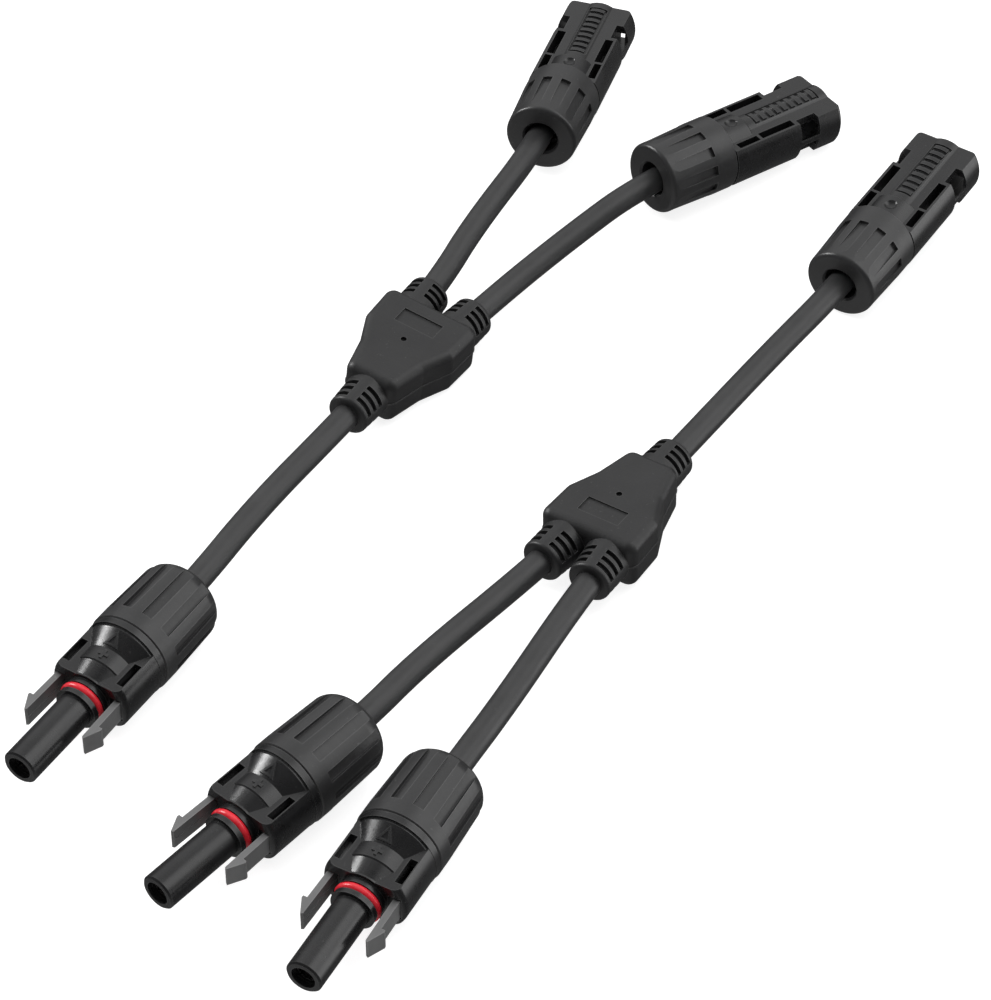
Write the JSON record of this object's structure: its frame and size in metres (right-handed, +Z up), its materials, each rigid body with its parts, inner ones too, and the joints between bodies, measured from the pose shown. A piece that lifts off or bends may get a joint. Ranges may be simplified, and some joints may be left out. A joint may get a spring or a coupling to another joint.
{
  "type": "solar cable branch connector pair",
  "caption": "Matched pair of black Y-branch solar cable leads: round latching plugs with red sealing rings on one end, slotted latching sockets on the other.",
  "frame": {"origin": "centre of the bounding box at the surface the leads lie on", "axes": "+X runs along the leads from the plugs to the sockets, +Y from lead B to lead A, +Z up"},
  "size_m": [0.2874, 0.1232, 0.0195],
  "materials": {
    "black_plastic": "fine satin grain, black",
    "mould_plastic": "satin, black, slightly uneven",
    "collet_plastic": "plain, hidden",
    "cable_jacket": "matte black",
    "seal_rubber": "soft, hidden",
    "red_rubber": "satin red",
    "tinned_contact": "tinned, bright",
    "copper": "bare copper"
  },
  "bodies": {
    "lead_a": {"branch_mould_a": "mould_plastic", "splice_block_a": "copper", "cable_a_trunk": "cable_jacket", "core_a_trunk": "copper", "cable_a_branch1": "cable_jacket", "core_a_branch1": "copper", "cable_a_branch2": "cable_jacket", "core_a_branch2": "copper", "plug_a_housing": "black_plastic", "plug_a_contact": "tinned_contact", "plug_a_seal": "seal_rubber", "plug_a_ring": "red_rubber", "socket_a1_housing": "black_plastic", "socket_a1_contact": "tinned_contact", "socket_a1_seal": "seal_rubber", "socket_a2_housing": "black_plastic", "socket_a2_contact": "tinned_contact", "socket_a2_seal": "seal_rubber"},
    "lead_b": {"branch_mould_b": "mould_plastic", "splice_block_b": "copper", "cable_b_trunk": "cable_jacket", "core_b_trunk": "copper", "cable_b_branch1": "cable_jacket", "core_b_branch1": "copper", "cable_b_branch2": "cable_jacket", "core_b_branch2": "copper", "plug_b1_housing": "black_plastic", "plug_b1_contact": "tinned_contact", "plug_b1_seal": "seal_rubber", "plug_b1_ring": "red_rubber", "plug_b2_housing": "black_plastic", "plug_b2_contact": "tinned_contact", "plug_b2_seal": "seal_rubber", "plug_b2_ring": "red_rubber", "socket_b_housing": "black_plastic", "socket_b_contact": "tinned_contact", "socket_b_seal": "seal_rubber"},
    "plug_a_clamp": {"plug_a_collet": "collet_plastic"},
    "plug_a_gland_nut": {"plug_a_nut": "black_plastic"},
    "plug_a_latch_left": {"plug_a_latch_left": "black_plastic"},
    "plug_a_latch_right": {"plug_a_latch_right": "black_plastic"},
    "plug_b1_clamp": {"plug_b1_collet": "collet_plastic"},
    "plug_b1_gland_nut": {"plug_b1_nut": "black_plastic"},
    "plug_b1_latch_left": {"plug_b1_latch_left": "black_plastic"},
    "plug_b1_latch_right": {"plug_b1_latch_right": "black_plastic"},
    "plug_b2_clamp": {"plug_b2_collet": "collet_plastic"},
    "plug_b2_gland_nut": {"plug_b2_nut": "black_plastic"},
    "plug_b2_latch_left": {"plug_b2_latch_left": "black_plastic"},
    "plug_b2_latch_right": {"plug_b2_latch_right": "black_plastic"},
    "socket_a1_clamp": {"socket_a1_collet": "collet_plastic"},
    "socket_a1_gland_nut": {"socket_a1_nut": "black_plastic"},
    "socket_a2_clamp": {"socket_a2_collet": "collet_plastic"},
    "socket_a2_gland_nut": {"socket_a2_nut": "black_plastic"},
    "socket_b_clamp": {"socket_b_collet": "collet_plastic"},
    "socket_b_gland_nut": {"socket_b_nut": "black_plastic"}
  },
  "joints": [
    {"name": "plug_a_clamp_slide", "type": "slide", "parent": "lead_a", "child": "plug_a_clamp", "axis": [1, 0, 0], "range_m": [0, 0.003]},
    {"name": "plug_a_nut_turn", "type": "hinge", "parent": "plug_a_clamp", "child": "plug_a_gland_nut", "pos_m": [-0.08319, 0.02434, 0.00975], "axis": [1, 0, 0], "range_deg": [0, 720]},
    {"name": "plug_a_latch_left_flex", "type": "hinge", "parent": "lead_a", "child": "plug_a_latch_left", "pos_m": [-0.09819, 0.01709, 0.00975], "axis": [0, 0, -1], "range_deg": [0, 4.5], "stiffness_Nm_per_rad": 1.5},
    {"name": "plug_a_latch_right_flex", "type": "hinge", "parent": "lead_a", "child": "plug_a_latch_right", "pos_m": [-0.09819, 0.03159, 0.00975], "axis": [0, 0, 1], "range_deg": [0, 4.5], "stiffness_Nm_per_rad": 1.5},
    {"name": "plug_b1_clamp_slide", "type": "slide", "parent": "lead_b", "child": "plug_b1_clamp", "axis": [0.9898, -0.1426, 0], "range_m": [0, 0.003]},
    {"name": "plug_b1_nut_turn", "type": "hinge", "parent": "plug_b1_clamp", "child": "plug_b1_gland_nut", "pos_m": [-0.09499, -0.02458, 0.00975], "axis": [0.9898, -0.1426, 0], "range_deg": [0, 720]},
    {"name": "plug_b1_latch_left_flex", "type": "hinge", "parent": "lead_b", "child": "plug_b1_latch_left", "pos_m": [-0.11087, -0.02962, 0.00975], "axis": [0, 0, -1], "range_deg": [0, 4.5], "stiffness_Nm_per_rad": 1.5},
    {"name": "plug_b1_latch_right_flex", "type": "hinge", "parent": "lead_b", "child": "plug_b1_latch_right", "pos_m": [-0.1088, -0.01527, 0.00975], "axis": [0, 0, 1], "range_deg": [0, 4.5], "stiffness_Nm_per_rad": 1.5},
    {"name": "plug_b2_clamp_slide", "type": "slide", "parent": "lead_b", "child": "plug_b2_clamp", "axis": [0.9974, 0.0715, 0], "range_m": [0, 0.003]},
    {"name": "plug_b2_nut_turn", "type": "hinge", "parent": "plug_b2_clamp", "child": "plug_b2_gland_nut", "pos_m": [-0.09651, -0.05014, 0.00975], "axis": [0.9974, 0.0715, 0], "range_deg": [0, 720]},
    {"name": "plug_b2_latch_left_flex", "type": "hinge", "parent": "lead_b", "child": "plug_b2_latch_left", "pos_m": [-0.11096, -0.05844, 0.00975], "axis": [0, 0, -1], "range_deg": [0, 4.5], "stiffness_Nm_per_rad": 1.5},
    {"name": "plug_b2_latch_right_flex", "type": "hinge", "parent": "lead_b", "child": "plug_b2_latch_right", "pos_m": [-0.11199, -0.04398, 0.00975], "axis": [0, 0, 1], "range_deg": [0, 4.5], "stiffness_Nm_per_rad": 1.5},
    {"name": "socket_a1_clamp_slide", "type": "slide", "parent": "lead_a", "child": "socket_a1_clamp", "axis": [-0.9636, -0.2582, 0.0698], "range_m": [0, 0.003]},
    {"name": "socket_a1_nut_turn", "type": "hinge", "parent": "socket_a1_clamp", "child": "socket_a1_gland_nut", "pos_m": [0.10048, 0.04221, 0.00963], "axis": [-0.9636, -0.2582, 0.0698], "range_deg": [0, 720]},
    {"name": "socket_a2_clamp_slide", "type": "slide", "parent": "lead_a", "child": "socket_a2_clamp", "axis": [-0.9325, 0.3542, 0.0698], "range_m": [0, 0.003]},
    {"name": "socket_a2_nut_turn", "type": "hinge", "parent": "socket_a2_clamp", "child": "socket_a2_gland_nut", "pos_m": [0.10159, 0.00714, 0.00963], "axis": [-0.9325, 0.3542, 0.0698], "range_deg": [0, 720]},
    {"name": "socket_b_clamp_slide", "type": "slide", "parent": "lead_b", "child": "socket_b_clamp", "axis": [-0.9996, 0.0087, -0.0262], "range_m": [0, 0.003]},
    {"name": "socket_b_nut_turn", "type": "hinge", "parent": "socket_b_clamp", "child": "socket_b_gland_nut", "pos_m": [0.09492, -0.04377, 0.00882], "axis": [-0.9996, 0.0087, -0.0262], "range_deg": [0, 720]},
    {"name": "lead_b_lift", "type": "slide", "parent": "lead_a", "child": "lead_b", "axis": [0, 0, 1], "range_m": [0, 0.06]}
  ],
  "couplings": [
    {"joint": "plug_a_clamp_slide", "follows": "plug_a_nut_turn", "m_per_rad": 0.00023873},
    {"joint": "plug_b1_clamp_slide", "follows": "plug_b1_nut_turn", "m_per_rad": 0.00023873},
    {"joint": "plug_b2_clamp_slide", "follows": "plug_b2_nut_turn", "m_per_rad": 0.00023873},
    {"joint": "socket_a1_clamp_slide", "follows": "socket_a1_nut_turn", "m_per_rad": 0.00023873},
    {"joint": "socket_a2_clamp_slide", "follows": "socket_a2_nut_turn", "m_per_rad": 0.00023873},
    {"joint": "socket_b_clamp_slide", "follows": "socket_b_nut_turn", "m_per_rad": 0.00023873}
  ]
}
